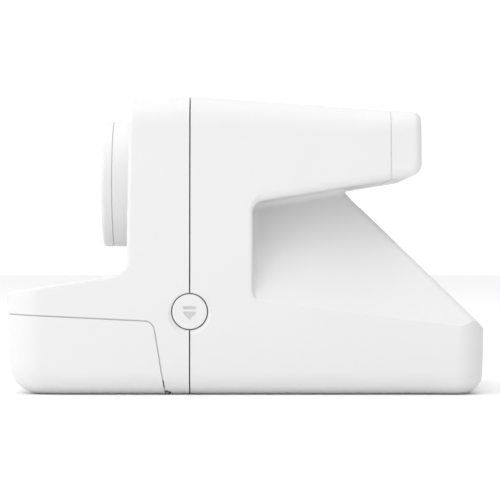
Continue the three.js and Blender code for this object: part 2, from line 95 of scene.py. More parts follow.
main_seam = (box("front_shell")[1][1] + box("rear_shell")[0][1]) / 2
cap_seam = cap_low[1] - SEAM / 2
head_rear = cap_high[1]
head_front = main_seam - 19.85
ridge_front = height - 1.6
recess_front = main_seam + 19.7
crease_front = (recess_front + 4.4, 28.8)
crease_rear = (rear - 0.6, 20.95)
back_slope = rear + 20.52
underside = ((recess_front + 3.3, 60.8), (head_rear, 69.1))
deck_front = (-rear + 0.8, 32.1)
deck_rear = (head_front - 4.25, 37.15)
half_at_top = side - 5.6
crease_half = side - 0.5
NARROWING = 0.67

lens_z = (ring_low[2] + ring_high[2]) / 2
lens_radius = (ring_high[2] - ring_low[2]) / 2
release_y, release_z = middle("door_release_button")[1:]
hinge_y, hinge_z = middle("hinge_pin")[1:]
door_corner = (hinge_y - 3.83, 23.05)
print_slot_half = side - 11.6
print_slot_low = 22.8


# ---------------------------------------------------------------- rounded joins of distance fields
def both(a, b, radius):
    """Inside both shapes, the edge rounded by the radius."""
    corner = np.hypot(np.maximum(a + radius, 0), np.maximum(b + radius, 0))
    return np.minimum(-radius, np.maximum(a, b)) + corner


def either(a, b, radius):
    """Inside either shape, the inner corner filled by the radius."""
    corner = np.hypot(np.maximum(radius - a, 0), np.maximum(radius - b, 0))
    return np.maximum(radius, np.minimum(a, b)) - corner


def past_line(u, v, start, end):
    """Distance to the left of the line that runs from start to end."""
    du, dv = end[0] - start[0], end[1] - start[1]
    return ((v - start[1]) * du - (u - start[0]) * dv) / math.hypot(du, dv)


def ramp(value, low, high):
    """0 below low, 1 above high, smooth between."""
    t = np.clip((value - low) / (high - low), 0, 1)
    return t * t * (3 - 2 * t)


def bend(value, softness):
    """0 for values well below zero, the value itself well above."""
    return softness * np.logaddexp(0, value / softness)


# ---------------------------------------------------------------- body form
def side_profile(y, z):
    """The outline seen from the side, without the roof and the ends of the base."""
    deck = past_line(y, z, deck_front, deck_rear)
    face = past_line(y, z, (head_front, 37.8), (head_front + 0.75, ridge_front))
    front = either(deck, face, 4)
    wall = y - recess_front
    shelf = past_line(y, z, crease_front, crease_rear)
    head = both(-past_line(y, z, *underside), y - head_rear, 3)
    back = either(either(wall, shelf, 4), head, 3.3)
    return np.maximum(both(front, back, 2.5), -z)


def outer_walls(x, y, z):
    """The two drafted sides with the front and rear faces of the base."""
    narrowing = (side - half_at_top) / (height - 22)
    sides = np.abs(x) - side + narrowing * bend(z - 22, 5)
    front_face = -rear - y + 0.06 * bend(18 - z, 4)
    rear_face = y - rear + 0.04 * bend(18 - z, 4)
    return both(both(sides, front_face, 11), rear_face, 9)


def roof(y, z):
    """The top, which peaks at the main seam."""
    return np.maximum(
        past_line(y, z, (head_front + 0.75, ridge_front), (main_seam, height)),
        past_line(y, z, (main_seam, height), (cap_seam, height - 4.6)),
    )


def edge_radius(y, z):
    """How round the edges between the side profile and the outer walls are."""
    low = (1 - ramp(z, 10, 15)) * (6.4 + 2 * (1 - ramp(y, -68, -55)) - ramp(y, 55, 68))
    front_edges = 0.4 * (1 - ramp(y, head_front + 3, head_front + 8)) * ramp(z, 38, 42)
    rear_edges = 1.5 * ramp(y, head_rear - 6, head_rear - 3) * ramp(z, 60, 66)
    under_head = ramp(z, 55, 60) * (1 - ramp(z, 72, 78))
    under_edges = 1.7 * ramp(y, recess_front - 2, recess_front + 2) * under_head
    return 0.9 + np.maximum(low, np.maximum(np.maximum(front_edges, rear_edges), under_edges))


def body_field(x, y, z):
    """Distance to the outer skin of the whole camera body, negative inside."""
    walls = outer_walls(x, y, z)
    roofed = both(walls, roof(y, z), 8.5 - 3 * ramp(y, cap_seam - 12, head_rear))
    main = both(side_profile(y, z), roofed, edge_radius(y, z))
    above = past_line(y, z, crease_front, crease_rear)
    flank = (np.abs(x) - crease_half + NARROWING * above) / math.hypot(1, NARROWING)
    neck = both(flank, (y + z - back_slope) / math.sqrt(2), 1.6)
    hidden_ends = np.maximum(np.maximum(z - 72, 12 - z), main_seam + 8 - y)
    neck = np.maximum(np.maximum(neck, walls), hidden_ends)
    fill = 0.05 + 2.6 * ramp(above, 3, 14)
    return either(main, neck, fill)


# ---------------------------------------------------------------- meshing a field
def stations(*stops):
    """Grid lines from (where, spacing) stops; each spacing holds up to the next stop."""
    lines = []
    for (start, spacing), (end, _) in zip(stops, stops[1:]):
        count = max(1, round((end - start) / spacing))
        lines.extend(np.linspace(start, end, count, endpoint=False))
    return np.array(lines + [stops[-1][0]])


def slopes(field, points, step=0.01):
    """Unit direction in which the field grows at each point."""
    grow = np.empty_like(points)
    for axis in range(3):
        shift = np.zeros(3)
        shift[axis] = step
        grow[:, axis] = field(*(points + shift).T) - field(*(points - shift).T)
    return grow / np.maximum(np.linalg.norm(grow, axis=1, keepdims=True), 1e-9)


def crossings(field, a, b):
    """The point between each a and b where the field is zero."""
    fa, fb = field(*a.T), field(*b.T)
    for _ in range(4):
        share = np.clip(fa / (fa - fb), 0.02, 0.98)[:, None]
        point = a + share * (b - a)
        value = field(*point.T)
        same = (np.sign(value) == np.sign(fa))[:, None]
        a, b = np.where(same, point, a), np.where(same, b, point)
        fa, fb = np.where(same[:, 0], value, fa), np.where(same[:, 0], fb, value)
    return a + np.clip(fa / (fa - fb), 0, 1)[:, None] * (b - a)


def contour(field, lines):
    """Dual contouring: one vertex in each grid cell that the surface passes through."""
    grid = np.meshgrid(*lines, indexing="ij")
    values = field(*grid)
    values[values == 0] = 1e-9
    shape = np.array(values.shape)
    cell_ids, faces, hits, normals = [], [], [], []
    for axis in range(3):
        inside = values < 0
        first = np.take(inside, range(shape[axis] - 1), axis)
        second = np.take(inside, range(1, shape[axis]), axis)
        edge = np.argwhere(first != second)
        opens = first[tuple(edge.T)]
        start = np.stack([lines[k][edge[:, k]] for k in range(3)], 1)
        end = start.copy()
        end[:, axis] = lines[axis][edge[:, axis] + 1]
        point = crossings(field, start, end)
        u, v = (axis + 1) % 3, (axis + 2) % 3
        around = []
        for du, dv in ((-1, -1), (0, -1), (0, 0), (-1, 0)):
            cell = edge.copy()
            cell[:, u] += du
            cell[:, v] += dv
            around.append(np.ravel_multi_index(cell.T, shape))
        quad = np.stack(around, 1)
        quad[~opens] = quad[~opens][:, ::-1]
        faces.append(quad)
        cell_ids.append(np.concatenate(around))
        hits.append(np.tile(point, (4, 1)))
        normals.append(np.tile(slopes(field, point), (4, 1)))
    faces = np.concatenate(faces)
    cells, owner = np.unique(np.concatenate(cell_ids), return_inverse=True)
    hits, normals = np.concatenate(hits), np.concatenate(normals)
    return place_vertices(cells, owner, hits, normals, lines, shape), np.searchsorted(cells, faces)


def place_vertices(cells, owner, hits, normals, lines, shape):
    """Least-squares meeting point of the planes found on each cell's edges, kept in its cell."""
    count = np.bincount(owner, minlength=len(cells))[:, None]
    mean = np.stack([np.bincount(owner, hits[:, k]) for k in range(3)], 1) / count
    offset = ((hits - mean[owner]) * normals).sum(1)
    matrix = np.empty((len(cells), 3, 3))
    target = np.empty((len(cells), 3))
    for i in range(3):
        target[:, i] = np.bincount(owner, normals[:, i] * offset)
        for j in range(3):
            matrix[:, i, j] = np.bincount(owner, normals[:, i] * normals[:, j])
    matrix += 0.03 * np.eye(3)
    point = mean + np.linalg.solve(matrix, target[:, :, None])[:, :, 0]
    corner = np.stack(np.unravel_index(cells, shape), 1)
    low = np.stack([lines[k][corner[:, k]] for k in range(3)], 1)
    high = np.stack([lines[k][np.minimum(corner[:, k] + 1, shape[k] - 1)] for k in range(3)], 1)
    return np.clip(point, low, high)


# ---------------------------------------------------------------- mesh helpers
def mesh_object(name, points, faces):
    """Object from points in millimetres and faces as lists of point numbers."""
    mesh = bpy.data.meshes.new(name)
    places = [tuple(point * MM) for point in np.asarray(points, float)]
    mesh.from_pydata(places, [], [list(map(int, face)) for face in faces])
    mesh.update()
    thing = bpy.data.objects.new(name, mesh)
    bpy.context.scene.collection.objects.link(thing)
    return thing


def outline(*corners):
    """Points round a closed outline of (u, v, radius) corners given counter-clockwise."""
    points = []
    for i, (u, v, radius) in enumerate(corners):
        here = Vector((u, v))
        if radius == 0:
            points.append((u, v))
            continue
        back = (Vector(corners[i - 1][:2]) - here).normalized()
        on = (Vector(corners[(i + 1) % len(corners)][:2]) - here).normalized()
        half = back.angle(on) / 2
        centre = here + (back + on).normalized() * radius / math.sin(half)
        first = here + back * radius / math.tan(half) - centre
        turn = math.copysign(math.pi - 2 * half, on.x * back.y - on.y * back.x)
        steps = max(3, round(abs(turn) / math.radians(9)))
        for k in range(steps + 1):
            c, s = math.cos(turn * k / steps), math.sin(turn * k / steps)
            points.append((centre.x + c * first.x - s * first.y, centre.y + s * first.x + c * first.y))
    return points


def arc(radius, station, bend_radius, start, end, steps=6):
    """Points of a rounded profile corner, as (radius, station), between two angles in degrees."""
    turns = [math.radians(start + (end - start) * k / steps) for k in range(steps + 1)]
    return [(radius + bend_radius * math.cos(t), station + bend_radius * math.sin(t)) for t in turns]


def rectangle(u, v, width, tall, radius):
    turns = ((-1, -1), (1, -1), (1, 1), (-1, 1))
    return outline(*[(u + a * width / 2, v + b * tall / 2, radius) for a, b in turns])


def circle(u, v, radius, steps=72):
    turns = [2 * math.pi * k / steps for k in range(steps)]
    return [(u + radius * math.cos(t), v + radius * math.sin(t)) for t in turns]


def along(axis, points, start, end, name="tool"):
    """Prism of an outline in (y, z), (x, z) or (x, y), from start to end along x, y or z."""
    place = {
        "x": lambda u, v, w: (w, u, v),
        "y": lambda u, v, w: (u, -w, v),
        "z": lambda u, v, w: (u, v, w),
    }[axis]
    if axis == "y":
        start, end = -end, -start
    count = len(points)
    ring = [place(u, v, w) for w in (start, end) for u, v in points]
    walls = [(k, (k + 1) % count, count + (k + 1) % count, count + k) for k in range(count)]
    return mesh_object(name, ring, [range(count)[::-1], range(count, 2 * count), *walls])


def block(x, y, z):
    return along("z", [(x[0], y[0]), (x[1], y[0]), (x[1], y[1]), (x[0], y[1])], *z)


def turned(name, profile, centre, axis="y", steps=96):
    """Solid turned round an axis from a closed (radius, station) profile."""
    place = {
        "x": lambda u, v, w: (w, u, v),
        "y": lambda u, v, w: (v, w, u),
        "z": lambda u, v, w: (u, v, w),
    }[axis]
    angles = np.linspace(0, 2 * math.pi, steps, endpoint=False)
    points = [
        place(radius * math.cos(angle), radius * math.sin(angle), station)
        for radius, station in profile
        for angle in angles
    ]
    count = len(profile)
    faces = []
    for i in range(count):
        j = (i + 1) % count
        for k in range(steps):
            n = (k + 1) % steps
            faces.append((i * steps + k, j * steps + k, j * steps + n, i * steps + n))
    thing = mesh_object(name, np.array(points) + np.array(centre), faces)
    return cleaned(thing)


def cleaned(thing):
    """Merges doubled points, closes flat ends on the axis and turns every face outward."""
    work = bmesh.new()
    work.from_mesh(thing.data)
    bmesh.ops.remove_doubles(work, verts=work.verts, dist=1e-7)
    bmesh.ops.recalc_face_normals(work, faces=work.faces)
    work.to_mesh(thing.data)
    work.free()
    return thing


def cut(thing, *tools, keep=False):
    """Takes the tools away from the solid, or keeps only what they share."""
    for tool in tools:
        change = thing.modifiers.new("cut", "BOOLEAN")
        change.operation = "INTERSECT" if keep else "DIFFERENCE"
        change.solver = "MANIFOLD"
        change.object = tool
        settle(thing)
        bpy.data.objects.remove(tool)
    return thing


def joined(thing, *others):
    for other in others:
        change = thing.modifiers.new("join", "BOOLEAN")
        change.operation = "UNION"
        change.solver = "MANIFOLD"
        change.object = other
        settle(thing)
        bpy.data.objects.remove(other)
    return thing


def settle(thing):
    """Turns the object's modifiers into plain mesh."""
    graph = bpy.context.evaluated_depsgraph_get()
    done = bpy.data.meshes.new_from_object(thing.evaluated_get(graph))
    thing.modifiers.clear()
    old = thing.data
    thing.data = done
    bpy.data.meshes.remove(old)


def copy_of(thing, name="tool"):
    twin = thing.copy()
    twin.data = thing.data.copy()
    twin.name = name
    bpy.context.scene.collection.objects.link(twin)
    return twin


def softened(thing, width, segments=2):
    """Small rounded edges wherever two faces meet at a clear angle."""
    bevel = thing.modifiers.new("edges", "BEVEL")
    bevel.width = width * MM
    bevel.segments = segments
    bevel.limit_method = "ANGLE"
    bevel.angle_limit = math.radians(40)
    settle(thing)
    return thing


def skin_normals(thing, reach=0.08):
    """Shades faces that lie on the camera's skin by the exact direction of the form there."""
    mesh = thing.data
    corner = np.empty(len(mesh.loops), int)
    mesh.loops.foreach_get("vertex_index", corner)
    sides = np.empty(len(mesh.polygons), int)
    mesh.polygons.foreach_get("loop_total", sides)
    points, centres, flat = (np.empty(3 * n) for n in (len(mesh.vertices), len(sides), len(sides)))
    mesh.vertices.foreach_get("co", points)
    mesh.polygons.foreach_get("center", centres)
    mesh.polygons.foreach_get("normal", flat)
    points, centres, flat = points.reshape(-1, 3) / MM, centres.reshape(-1, 3) / MM, flat.reshape(-1, 3)
    owner = np.repeat(np.arange(len(sides)), sides)
    at = 0.8 * points[corner] + 0.2 * centres[owner]
    normals = flat[owner]
    grown = slopes(body_field, at)
    on_skin = (np.abs(body_field(*at.T)) < reach) & ((grown * normals).sum(1) > 0.75)
    normals[on_skin] = grown[on_skin]
    mesh.polygons.foreach_set("use_smooth", np.ones(len(sides), bool))
    mesh.normals_split_custom_set(normals.tolist())


def present(thing, body, node, material, sharp=32):
    """Names, paints and mounts a finished piece that stands for a CAD node, smoothed below an angle."""
    thing.name = node + "_look"
    thing.data.materials.clear()
    thing.data.materials.append(material)
    if sharp:
        thing.data.shade_smooth()
        thing.data.set_sharp_from_angle(angle=math.radians(sharp))
        weights = thing.modifiers.new("even", "WEIGHTED_NORMAL")
        weights.keep_sharp = True
    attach(thing, body)
    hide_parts(node)
    return thing


# ---------------------------------------------------------------- materials
def surface(name, colour, roughness, metallic=0.0, grain=0.0, grain_size=0.3, **extra):
    """Surface with slight colour variation, a fine bump of the given grain, and paler worn edges."""
    material = bpy.data.materials.new(name)
    material.use_nodes = True
    nodes, links = material.node_tree.nodes, material.node_tree.links
    shader = nodes["Principled BSDF"]
    shader.inputs["Metallic"].default_value = metallic
    for socket, value in extra.items():
        shader.inputs[socket].default_value = value
    place = nodes.new("ShaderNodeTexCoord")

    def noise(size_mm, detail=2.0):
        pattern = nodes.new("ShaderNodeTexNoise")
        pattern.inputs["Scale"].default_value = 1 / (size_mm * MM)
        pattern.inputs["Detail"].default_value = detail
        links.new(place.outputs["Object"], pattern.inputs["Vector"])
        return pattern.outputs["Fac"]

    def spread(source, low, high):
        change = nodes.new("ShaderNodeMapRange")
        change.inputs["To Min"].default_value = low
        change.inputs["To Max"].default_value = high
        links.new(source, change.inputs["Value"])
        return change.outputs["Result"]

    shade = nodes.new("ShaderNodeMix")
    shade.data_type = "RGBA"
    shade.blend_type = "MULTIPLY"
    shade.inputs["Factor"].default_value = 1.0
    shade.inputs["A"].default_value = (*colour, 1)
    tint = nodes.new("ShaderNodeCombineColor")
    level = spread(noise(25), 0.975, 1.0)
    for channel in ("Red", "Green", "Blue"):
        links.new(level, tint.inputs[channel])
    links.new(tint.outputs["Color"], shade.inputs["B"])
    wear = nodes.new("ShaderNodeNewGeometry")
    edge = nodes.new("ShaderNodeMapRange")
    edge.inputs["From Min"].default_value = 0.56
    edge.inputs["From Max"].default_value = 0.68
    edge.inputs["To Max"].default_value = 0.25
    links.new(wear.outputs["Pointiness"], edge.inputs["Value"])
    worn = nodes.new("ShaderNodeMix")
    worn.data_type = "RGBA"
    worn.inputs["B"].default_value = (*[min(1.0, c * 1.04 + 0.01) for c in colour], 1)
    links.new(edge.outputs["Result"], worn.inputs["Factor"])
    links.new(shade.outputs["Result"], worn.inputs["A"])
    links.new(worn.outputs["Result"], shader.inputs["Base Color"])
    polish = spread(noise(6, 4), roughness * 0.93, min(1.0, roughness * 1.07))
    links.new(polish, shader.inputs["Roughness"])
    if grain:
        bump = nodes.new("ShaderNodeBump")
        bump.inputs["Strength"].default_value = grain
        bump.inputs["Distance"].default_value = 0.05 * MM
        links.new(noise(grain_size, 3), bump.inputs["Height"])
        links.new(bump.outputs["Normal"], shader.inputs["Normal"])
    return material


shell_white = surface("shell_white", (0.745, 0.745, 0.745), 0.5, grain=0.3)
barrel_white = surface("barrel_white", (0.745, 0.745, 0.745), 0.46, grain=0.25)
key_white = surface("key_white", (0.745, 0.745, 0.745), 0.4, grain=0.15)
# Painted shade: grey for the floor of the pressed-in symbol on the door release, standing in for the shade
# inside the recess.
symbol_painted_shade = surface("symbol_painted_shade", (0.6, 0.6, 0.6), 0.5, grain=0.2)
black_moulding = surface("black_moulding", (0.018, 0.018, 0.02), 0.6, grain=0.4)
black_gloss = surface("black_gloss", (0.008, 0.008, 0.01), 0.12, grain=0.05)
red_key = surface("red_key", (0.62, 0.05, 0.025), 0.35, grain=0.12)
silver_mirror = surface("silver_mirror", (0.9, 0.91, 0.92), 0.03, 1.0)
plain_steel = surface("plain_steel", (0.55, 0.56, 0.58), 0.34, 1.0, grain=0.2)
bright_aluminium = surface("bright_aluminium", (0.8, 0.81, 0.82), 0.22, 1.0, grain=0.1)
turned_brass = surface("turned_brass", (0.62, 0.45, 0.2), 0.3, 1.0, grain=0.15)
circuit_green = surface("circuit_green", (0.02, 0.14, 0.05), 0.45, grain=0.2)
acetal = surface("acetal", (0.74, 0.71, 0.63), 0.45, grain=0.15)
shield_rubber = surface("shield_rubber", (0.02, 0.02, 0.022), 0.8, grain=0.5)
battery_wrap = surface("battery_wrap", (0.05, 0.1, 0.3), 0.4, grain=0.1)
glass_inputs = {"Transmission Weight": 0.9, "IOR": 1.5, "Coat Weight": 0.3}
clear_glass = surface("clear_glass", (0.9, 0.94, 0.97), 0.04, **glass_inputs)
slot_material = {
    "shell": shell_white,
    "white_gloss": key_white,
    "black_plastic": black_moulding,
    "black_gloss": black_gloss,
    "lens_glass": clear_glass,
    "red_plastic": red_key,
    "mirror": silver_mirror,
    "steel": plain_steel,
    "aluminium": bright_aluminium,
    "brass": turned_brass,
    "board": circuit_green,
    "gear": acetal,
    "rubber": shield_rubber,
    "battery_wrap": battery_wrap,
}


# ---------------------------------------------------------------- housing
x_lines = stations((-side - 1.2, 0.8), (-42, 1.6), (-32, 6), (32, 1.6), (42, 0.8), (side + 1.2, 0))
y_lines = stations(
    (-rear - 1.2, 0.6), (-72, 1.0), (-60, 2.4), (-44, 1.0), (head_front - 1.5, 0.5), (head_front + 5, 2.4),
    (main_seam - 1, 1.0), (main_seam + 1, 2.4), (recess_front - 3, 0.7), (recess_front + 6, 1.0), (28, 0.8),
    (head_rear - 3, 0.5), (head_rear + 1, 0.8), (72, 0.6), (rear + 1.2, 0),
)
z_lines = stations(
    (-0.9, 0.6), (3, 0.8), (12, 1.6), (18, 0.7), (34, 0.9), (43, 1.2), (54, 0.7), (72, 1.4), (82, 0.8),
    (86, 0.5), (height + 0.9, 0),
)


def body_solid(inset, lines, name):
    """The whole camera body as one closed solid, set in by a distance."""
    points, quads = contour(lambda x, y, z: body_field(x, y, z) + inset, lines)
    return mesh_object(name, points, quads)


def thinner(lines):
    return np.append(lines[:-1:2], lines[-1])


def door_tool(grow):
    """The region of the film door seen from the side, grown or shrunk by part of the seam."""
    foot = (hinge_y + 0.87 + 1.014 * grow, -5, 0)
    corner = (door_corner[0] + 0.85 * grow, door_corner[1] + 0.96 * grow, 3.3 + grow)
    rise = (door_corner[0] + rear + 15) * 0.0487
    front_top = (-rear - 15, door_corner[1] + rise + grow, 0)
    return along("x", outline((-rear - 15, -5, 0), foot, corner, front_top), -side - 3, side + 3)


def hinge_bar(radius, start, end):
    return along("x", circle(hinge_y, hinge_z, radius, 48), start, end)


def between_knuckles(inner, outer):
    """The matching pair of stretches of the hinge line, left and right of the middle."""
    return (-outer, -inner), (inner, outer)


def swing_notches():
    """Room in both side walls for the foot of the door, which swings back as the door opens."""
    front, back = hinge_y - 0.6, hinge_y + 1.75
    section = [
        (front, -5), (back, -5), (back, hinge_z - 0.85),
        (hinge_y, hinge_z - 0.15), (front, hinge_z - 0.1),
    ]
    return [along("x", section, start, end) for start, end in between_knuckles(49.3, side + 3)]


def y_hole(x, z, radius, start, end, steps=72):
    return along("y", circle(x, z, radius, steps), start, end)


def opening(node, corner_radius, start, end):
    """Hole that a rectangular window or frame sits in, straight through a wall."""
    low, high = box(node)
    x, z = (low + high)[[0, 2]] / 2
    wide, tall = (high - low)[[0, 2]] + 2 * CLEAR
    return along("y", rectangle(x, z, wide, tall, corner_radius), start, end)


def key_hole(node, flange, start, end):
    """Round hole for a key or a round window, whose flange stays behind the wall."""
    low, high = box(node)
    x, z = (low + high)[[0, 2]] / 2
    return y_hole(x, z, (high[0] - low[0]) / 2 - flange + CLEAR, start, end)


def release_well():
    """Round hole for the door release, with a shallow bevel round its mouth."""
    radius = RELEASE_RADIUS + CLEAR
    face = release_high[0] + 0.14
    profile = [
        (0, 45), (radius, 45), (radius, face - 0.6), (radius + 1, face), (radius + 4, face + 3), (0, face + 3),
    ]
    return turned("tool", profile, (0, release_y, release_z), "x")


def front_shell(shell):
    wall = (head_front - 3, head_front + 5)
    panel = cut(
        copy_of(shell),
        block((-FAR, FAR), (main_seam - SEAM / 2, FAR), (-5, 120)),
        door_tool(SEAM / 2),
        hinge_bar(BARREL + 0.4, -50, 50),
        *swing_notches(),
        y_hole(0, lens_z, 16.5, *wall),
        release_well(),
        key_hole("shutter_button", FLANGE, *wall),
        key_hole("self_timer_button", FLANGE, *wall),
        key_hole("light_sensor_window", 0, *wall),
        key_hole("timer_led", 0, *wall),
        opening("flash_window", 2.3, *wall),
        opening("viewfinder_front_window", 2.3, *wall),
    )
    socket = middle("usb_socket")
    cut(panel, along("x", rectangle(socket[1], socket[2], 9.4, 3.8, 1.8), -side - 3, -45))
    for start, end in between_knuckles(9.3, 30.7):
        web = block((start, end), (hinge_y, main_seam - 1), (0.25, 2.6))
        joined(panel, hinge_bar(BARREL - 0.15, start, end), web)
    return cut(panel, hinge_bar(PIN_BORE, -PIN_REACH, PIN_REACH))


def rear_shell(shell):
    panel = cut(
        copy_of(shell),
        block((-FAR, FAR), (-FAR, main_seam + SEAM / 2), (-5, 120)),
        block((-FAR, FAR), (cap_seam - SEAM / 2, FAR), (60, 120)),
        release_well(),
    )
    for number in range(1, 5):
        x, y = middle(f"housing_screw_{number}")[:2]
        well = [(0, -1), (3.2, -1), (2.6, 0.35), (2.6, WALL + 1), (0, WALL + 1)]
        cut(panel, turned("tool", well, (x, y, 0), "z", 48))
    return panel


def rear_cap(shell):
    wall = (head_rear - 5, head_rear + 3)
    return cut(
        copy_of(shell),
        block((-FAR, FAR), (-FAR, cap_seam + SEAM / 2), (-5, 120)),
        block((-FAR, FAR), (-FAR, FAR), (-5, 60)),
        opening("viewfinder_eyepiece", 2.3, *wall),
        opening("counter_display", 1.5, *wall),
        key_hole("flash_mode_button", FLANGE, *wall),
        key_hole("power_button", FLANGE, *wall),
    )


def film_door(shell):
    """Tray with its hinge barrels, the slot for the print and the catch for the latch."""
    panel = cut(copy_of(shell), door_tool(-SEAM / 2), keep=True)
    for start, end in ((-49.5, -31), (-9, 9), (31, 49.5)):
        joined(panel, hinge_bar(BARREL, start, end))
    for start, end in between_knuckles(9, 31):
        cut(panel, hinge_bar(BARREL + 0.4, start, end))
    cut(panel, hinge_bar(PIN_BORE, -PIN_REACH, PIN_REACH))
    slot_width = (-print_slot_half, print_slot_half)
    cut(panel, block(slot_width, (-rear - 3, -rear + 5), (print_slot_low, 30)))
    return joined(panel, block((49.5, 54.2), (-46, -42), (17, 22.5)))


def housing():
    """The four panels cut from one shell, with lips behind the door seam and the cap seam."""
    lines = (x_lines, y_lines, z_lines)
    coarse = tuple(map(thinner, lines))
    skin = body_solid(0, lines, "skin")
    cavity = body_solid(WALL, coarse, "cavity")
    shell = cut(skin, copy_of(cavity))
    behind_cap_seam = block((-FAR, FAR), (cap_seam - 1, cap_seam + 0.2), (60, 120))
    cap_lip = cut(body_solid(0.3, coarse, "cap_lip"), behind_cap_seam, keep=True)
    door_lip = cut(body_solid(0.55, coarse, "door_lip"), door_tool(0.6), keep=True)
    cut(door_lip, door_tool(-0.15), block((-FAR, FAR), (hinge_y - 2, FAR), (-5, 4.5)))
    panels = {
        "front_shell": joined(front_shell(shell), cut(door_lip, copy_of(cavity))),
        "rear_shell": joined(rear_shell(shell), cut(cap_lip, cavity)),
        "rear_cap": rear_cap(shell),
        "film_door": film_door(shell),
    }
    for name, panel in panels.items():
        skin_normals(panel)
        body = "door" if name == "film_door" else "camera"
        present(panel, body, name, shell_white, sharp=None)
    bpy.data.objects.remove(shell)


# ---------------------------------------------------------------- door release
def door_release():
    """Round key with a bar and a downward arrow pressed into its face."""
    low, high = release_low, release_high
    radius = (high[2] - low[2]) / 2 - FLANGE
    y, z, face = release_y, release_z, high[0]
    profile = [
        (0, low[0]), (radius + FLANGE, low[0]), (radius + FLANGE, low[0] + 1.3), (radius, low[0] + 1.3),
        *arc(radius - 0.4, face - 0.4, 0.4, 0, 90, 5), (0, face),
    ]
    key = turned("key", profile, (0, y, z), "x")
    bar = along("x", rectangle(y, z + 1.2, 3.9, 0.9, 0.12), face - SYMBOL_DEPTH, face + 1)
    arrow = outline(
        (y, z - 2.6, 0.2), (y + 1.9, z - 0.6, 0.2), (y + 1.9, z, 0.1),
        (y - 1.9, z, 0.1), (y - 1.9, z - 0.6, 0.2),
    )
    cut(key, bar, along("x", arrow, face - SYMBOL_DEPTH, face + 1))
    present(key, "release", "door_release_button", key_white)
    # The floor of the pressed-in bar and arrow is painted grey as painted shade inside the recess.
    key.data.materials.append(symbol_painted_shade)
    for part in key.data.polygons:
        if part.normal.x > 0.9 and abs(part.center.x / MM - face + SYMBOL_DEPTH) < 0.05:
            part.material_index = 1


# ---------------------------------------------------------------- lens
LENS_CENTRE = (0, 0, lens_z)
LENS_BORE = 15.5


def lens_rear_ring():
    """Ring cut to the slanted face of the head, with a neck through it and a spigot for the front ring."""
    ring_front, ring_back = ring_low[1], ring_high[1]
    neck_radius, spigot = 16.1, lens_radius - 0.22
    ring = turned("ring", [
        (LENS_BORE, head_front + 1.2), (lens_radius, head_front + 1.2),
        *arc(lens_radius - 0.25, ring_front + 0.25, 0.25, 0, -90, 3), (spigot, ring_front),
        (spigot, ring_front - 0.22), (LENS_BORE, ring_front - 0.22),
    ], LENS_CENTRE)
    head_face = [
        (head_front - 0.06, 37.8), (FAR, 37.8), (FAR, ridge_front), (head_front + 0.69, ridge_front),
    ]
    cut(ring, along("x", head_face, -FAR, FAR))
    neck = turned("neck", [
        (LENS_BORE, ring_front + 1), (LENS_BORE, ring_back),
        (neck_radius, ring_back), (neck_radius, ring_front + 1),
    ], LENS_CENTRE)
    present(joined(ring, neck), "camera", "lens_rear_ring", barrel_white)


def lens_front_ring():
    low, high = box("lens_front_ring")
    front, back = low[1], high[1]
    profile = [
        (LENS_BORE, back), *arc(lens_radius - 0.25, back - 0.25, 0.25, 90, 0, 3),
        *arc(lens_radius - 1.3, front + 1.3, 1.3, 0, -90, 8),
        *arc(LENS_BORE + 1.1, front + 0.6, 0.6, -90, -180, 4), (LENS_BORE, front + 1.4),
    ]
    present(turned("ring", profile, LENS_CENTRE), "camera", "lens_front_ring", barrel_white)


def lens_bezel(mouth=13.2, step=1.04):
    """Black funnel that narrows in five steps."""
    low, high = box("lens_bezel")
    outer, lip, back = high[0], low[1], high[1]
    steps = []
    for k in range(5):
        station = lip + 3 + k
        steps += [(mouth - step * k, station), (mouth - step * (k + 1), station)]
    profile = [(outer, back), (outer, lip + 0.3), (outer - 0.3, lip), (13.4, lip), *steps, (8, back)]
    present(turned("bezel", profile, LENS_CENTRE), "camera", "lens_bezel", black_gloss)


def front_glass(radius=12.9, crown=0.8):
    low, high = box("front_glass")
    dome = [
        (radius * math.cos(angle), low[1] + crown - crown * math.sin(angle))
        for angle in np.radians([0, 15, 30, 45, 60, 75])
    ]
    profile = [(0, high[1]), (radius, high[1]), *dome, (0, low[1])]
    present(turned("glass", profile, LENS_CENTRE), "camera", "front_glass", clear_glass)


# ---------------------------------------------------------------- keys and windows
def round_key(node, body, material, outward, dish=0.35):
    """Key with a softly rounded rim, a shallow dish in its face and a flange behind the wall."""
    low, high = box(node)
    x, z = (low + high)[[0, 2]] / 2
    radius = (high[0] - low[0]) / 2 - FLANGE
    face, back = (low[1], high[1]) if outward < 0 else (high[1], low[1])
    edge, dish_radius = 0.6, radius - 1.1
    rim = [
        (radius - edge + edge * math.cos(angle), face - outward * edge * (1 - math.sin(angle)))
        for angle in np.radians([0, 22, 45, 67, 90])
    ]
    hollow = [
        (dish_radius * (1 - k / 5), face - outward * dish * math.sin(math.pi / 2 * k / 5))
        for k in range(1, 6)
    ]
    flange = back + outward * FLANGE
    profile = [
        (0, back), (radius + FLANGE, back), (radius + FLANGE, flange), (radius, flange),
        *rim, (dish_radius, face), *hollow,
    ]
    present(turned("key", profile, (x, 0, z)), body, node, material)


def pane(node, corner, material):
    """Flat window with rounded corners and softened edges."""
    low, high = box(node)
    x, z = (low + high)[[0, 2]] / 2
    wide, tall = (high - low)[[0, 2]]
    plate = along("y", rectangle(x, z, wide, tall, corner), low[1], high[1])
    present(softened(plate, 0.3), "camera", node, material)


def round_pane(node, material):
    low, high = box(node)
    x, z = (low + high)[[0, 2]] / 2
    plate = y_hole(x, z, (high[0] - low[0]) / 2, low[1], high[1])
    present(softened(plate, 0.25), "camera", node, material)


